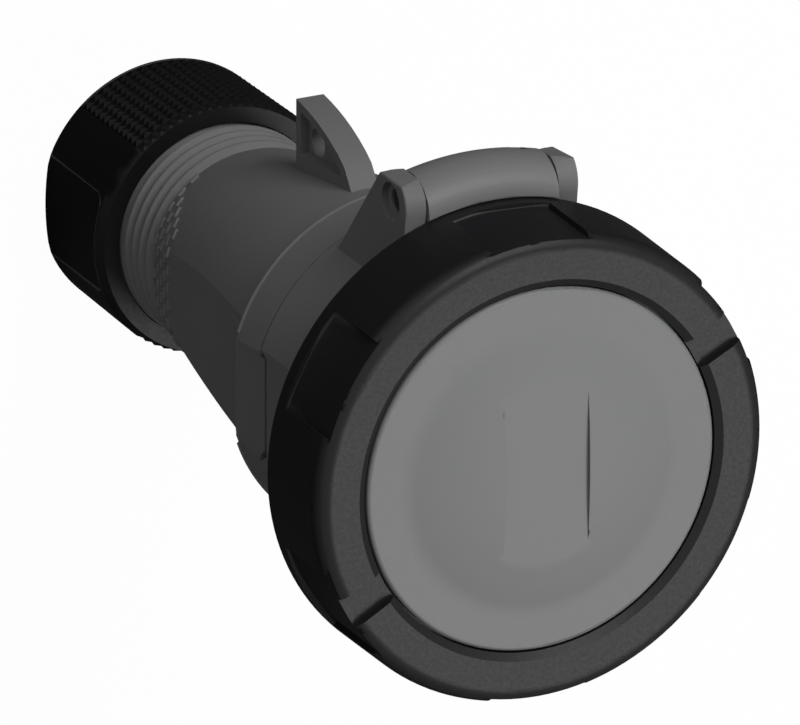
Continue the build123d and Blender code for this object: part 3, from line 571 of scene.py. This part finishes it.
def knurlPatches(values):
    slopeFrom = nutValues["slopeFrom"]
    bm = bmesh.new()
    bmesh.ops.create_grid(bm, x_segments=values["across"], y_segments=values["along"], size=0.5)
    for vert in bm.verts:
        angle = radians(values["first"] + (vert.co.x + 0.5) * (values["last"] - values["first"]))
        level = values["low"] + (vert.co.y + 0.5) * (values["high"] - values["low"])
        radius = values["rear"] + (values["front"] - values["rear"]) * level / values["length"]
        radius -= values["valley"]
        radius -= max(level - slopeFrom, 0) * values["slope"]
        vert.co = (radius * cos(angle) * mm, radius * sin(angle) * mm, level * mm)
    bm.normal_update()
    outward = bm.faces[:][0].normal.dot(bm.faces[:][0].calc_center_median()) > 0
    if not outward:
        bmesh.ops.reverse_faces(bm, faces=bm.faces)
    for vert in bmesh.ops.poke(bm, faces=bm.faces[:], offset=values["peak"] * mm)["verts"]:
        if vert.co.z > slopeFrom * mm:
            radius = vert.co.xy.length / mm
            vert.co.xy *= (radius - values["frontRowLower"]) / radius
    bmesh.ops.solidify(bm, geom=bm.faces[:], thickness=values["thickness"] * mm)
    bmesh.ops.recalc_face_normals(bm, faces=bm.faces)
    spunTwice(bm)
    return bm


# the lighter plastic of the bevel lines is a painted highlight, not the nut's own finish
edgeHighlightLook = dict(
    dark=(0.060, 0.060, 0.062), light=(0.085, 0.085, 0.088), gloss=0.4, cloudScale=40,
    grainScale=1300, roughLow=0.30, roughHigh=0.40, bump=0.1, depth=0.02,
)
nutShell = addPiece("nutShell", sunkNut(knurlValues), "gland_nut", ["gland_nut"])
nutKnurl = addPiece("nutKnurl", knurlPatches(knurlValues), "gland_nut", sharp=5)
nutEdgeHighlight = addPiece("nutEdgeHighlight", flatEdgeHighlights(nutValues), "gland_nut", sharp=40,
                   finish=mouldedPlastic("paintedEdgeHighlight", edgeHighlightLook))
print("knurl:", len(nutKnurl.data.polygons), "faces")


# Floor, lights and camera

def glossyOrThrough(tree, path):
    # rays that a surface reflects, or lets through
    either = addNode(tree, "ShaderNodeMath", operation="MAXIMUM")
    tree.links.new(path.outputs["Is Glossy Ray"], either.inputs[0])
    tree.links.new(path.outputs["Is Transmission Ray"], either.inputs[1])
    return either.outputs[0]


def whiteFactor(tree, path, where):
    # 1 for the camera's rays, and for reflections as far as the mask called where lets them
    reflected = addNode(tree, "ShaderNodeMath", operation="MULTIPLY")
    tree.links.new(glossyOrThrough(tree, path), reflected.inputs[0])
    tree.links.new(where, reflected.inputs[1])
    factor = addNode(tree, "ShaderNodeMath", operation="MAXIMUM")
    tree.links.new(path.outputs["Is Camera Ray"], factor.inputs[0])
    tree.links.new(reflected.outputs[0], factor.inputs[1])
    return factor.outputs[0]


floorValues = dict(size=12.0, bounce=(0.06, 0.06, 0.06), lit=(0.95, 0.95, 0.95), lift=0.97, near=1.0, far=2.0)


def floorMaterial(values):
    material, tree, shader = newMaterial("paleFloor")
    tree.nodes.remove(shader)
    path = addNode(tree, "ShaderNodeLightPath")
    bounce = addNode(tree, "ShaderNodeBsdfDiffuse", Color=(*values["bounce"], 1))
    lit = addNode(tree, "ShaderNodeBsdfDiffuse", Color=(*values["lit"], 1))
    white = addNode(tree, "ShaderNodeEmission", Color=(1, 1, 1, 1), Strength=1.0)
    seen = addNode(tree, "ShaderNodeMixShader", Fac=values["lift"])
    tree.links.new(lit.outputs[0], seen.inputs[1])
    tree.links.new(white.outputs[0], seen.inputs[2])
    # reflections see the white floor only far from the coupler
    coords = addNode(tree, "ShaderNodeTexCoord")
    distance = addNode(tree, "ShaderNodeVectorMath", operation="LENGTH")
    tree.links.new(coords.outputs["Object"], distance.inputs[0])
    away = remap(tree, distance.outputs["Value"], values["near"], values["far"], 0, 1)
    mix = addNode(tree, "ShaderNodeMixShader")
    tree.links.new(whiteFactor(tree, path, away), mix.inputs[0])
    tree.links.new(bounce.outputs[0], mix.inputs[1])
    tree.links.new(seen.outputs[0], mix.inputs[2])
    tree.links.new(mix.outputs[0], tree.nodes["Material Output"].inputs["Surface"])
    return material


bm = bmesh.new()
bmesh.ops.create_grid(bm, x_segments=1, y_segments=1, size=floorValues["size"] / 2)
mesh = bpy.data.meshes.new("studioFloor")
bm.to_mesh(mesh)
bm.free()
studioFloor = bpy.data.objects.new("studioFloor", mesh)
scene.collection.objects.link(studioFloor)
mesh.materials.append(floorMaterial(floorValues))

worldValues = dict(fill=0.15, white=1.0, low=0.15, high=0.55)


def studioWorld(values):
    world = bpy.data.worlds.new("studio")
    world.use_nodes = True
    tree = world.node_tree
    path = addNode(tree, "ShaderNodeLightPath")
    # reflections see the white overhead and the fill at the horizon
    coords = addNode(tree, "ShaderNodeTexCoord")
    parts = addNode(tree, "ShaderNodeSeparateXYZ")
    tree.links.new(coords.outputs["Generated"], parts.inputs["Vector"])
    overhead = remap(tree, parts.outputs["Z"], values["low"], values["high"], 0, 1)
    seen = whiteFactor(tree, path, overhead)
    strength = remap(tree, seen, 0, 1, values["fill"], values["white"])
    tree.links.new(strength, tree.nodes["Background"].inputs["Strength"])
    tree.nodes["Background"].inputs["Color"].default_value = (1, 1, 1, 1)
    return world


scene.world = studioWorld(worldValues)

middle = Vector((0, 0, 0.1))
lampValues = {
    "topSoftbox": dict(direction=(0.20, 0.65, 0.73), distance=1.4, size=0.9, radiance=6.2),
    "leftSoftbox": dict(direction=(-0.62, 0.72, 0.30), distance=1.2, size=1.0, radiance=0.85),
    "frontSoftbox": dict(direction=(0.409, -0.367, 0.835), distance=1.4, size=0.6, radiance=7.7),
}
for lampName, values in lampValues.items():
    lamp = bpy.data.lights.new(lampName, "AREA")
    lamp.shape = "DISK"
    lamp.size = values["size"]
    # a disc of radiance L sends out L * pi * its area
    lamp.energy = values["radiance"] * pi * pi * (values["size"] / 2) ** 2
    lampObject = bpy.data.objects.new(lampName, lamp)
    direction = Vector(values["direction"]).normalized()
    lampObject.location = middle + direction * values["distance"]
    lampObject.rotation_euler = direction.to_track_quat("Z", "Y").to_euler()
    scene.collection.objects.link(lampObject)

cameraValues = dict(
    place=(-2.14919, 1.93160, 4.49905),
    right=(0.89836643, 0.00132403, 0.43924482),
    up=(0.16031196, 0.93002668, -0.33068179),
    back=(-0.40894723, 0.36748961, 0.83529249),
    lens=1200.0, sensor=36.0, nearest=0.1, farthest=60.0,
)
camera = bpy.data.cameras.new("camera")
camera.lens = cameraValues["lens"]
camera.sensor_width = cameraValues["sensor"]
camera.clip_start = cameraValues["nearest"]
camera.clip_end = cameraValues["farthest"]
cameraObject = bpy.data.objects.new("camera", camera)
turn = Matrix((cameraValues["right"], cameraValues["up"], cameraValues["back"])).transposed()
cameraObject.matrix_world = Matrix.Translation(cameraValues["place"]) @ turn.to_4x4()
scene.collection.objects.link(cameraObject)
scene.camera = cameraObject
scene.view_settings.view_transform = "Standard"
print("stage, lights and camera ready")
